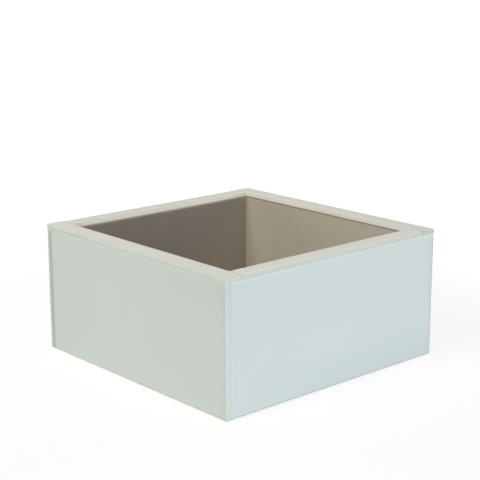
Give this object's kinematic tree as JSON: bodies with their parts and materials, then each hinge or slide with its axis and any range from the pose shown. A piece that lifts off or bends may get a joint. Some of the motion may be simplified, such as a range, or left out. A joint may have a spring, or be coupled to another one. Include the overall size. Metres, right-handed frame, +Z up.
{
  "type": "floor planter",
  "caption": "Low square floor planter: wall boards on a batten frame, a flat rim, and a sunk inner tub with a lift-out drain plug.",
  "frame": {"origin": "centre of the footprint, on the floor", "axes": "+Z up; -Y is the front, the image-right face of the picture; -X is its image-left face"},
  "size_m": [0.8, 0.8, 0.383],
  "materials": {
    "wall_lacquer": "satin pale blue-green lacquer on smooth board",
    "rim_paint": "satin cream paint on flat boards",
    "tub_plastic": "matte taupe",
    "timber": "planed softwood",
    "plywood": "sanded plywood",
    "dowel_wood": "plain beech",
    "zinc_steel": "zinc plated",
    "black_plastic": "moulded, lightly grained",
    "black_rubber": "matte"
  },
  "bodies": {
    "planter": {"wall_front": "wall_lacquer", "wall_right": "wall_lacquer", "wall_back": "wall_lacquer", "wall_left": "wall_lacquer", "rim_front": "rim_paint", "rim_right": "rim_paint", "rim_back": "rim_paint", "rim_left": "rim_paint", "corner_post_front_left": "timber", "corner_post_front_right": "timber", "corner_post_back_right": "timber", "corner_post_back_left": "timber", "top_rail_front": "timber", "top_rail_right": "timber", "top_rail_back": "timber", "top_rail_left": "timber", "bottom_rail_front": "timber", "bottom_rail_right": "timber", "bottom_rail_back": "timber", "bottom_rail_left": "timber", "base_bearer_left": "timber", "base_bearer_right": "timber", "base_board": "plywood", "tub": "tub_plastic", "drain_body": "black_plastic", "drain_nut": "black_plastic", "drain_gasket": "black_rubber", "foot_glide_front_left": "black_plastic", "foot_glide_front_right": "black_plastic", "foot_glide_back_right": "black_plastic", "foot_glide_back_left": "black_plastic", "wall_dowels": "dowel_wood", "rim_dowels": "dowel_wood", "post_screws": "zinc_steel", "rail_screws": "zinc_steel", "rim_screws": "zinc_steel", "base_screws": "zinc_steel", "glide_screws": "zinc_steel"},
    "plug": {"drain_plug": "black_plastic", "plug_seal": "black_rubber"}
  },
  "joints": [
    {"name": "plug_lift", "type": "slide", "parent": "planter", "child": "plug", "axis": [0, 0, 1], "range_m": [0, 0.06]}
  ]
}
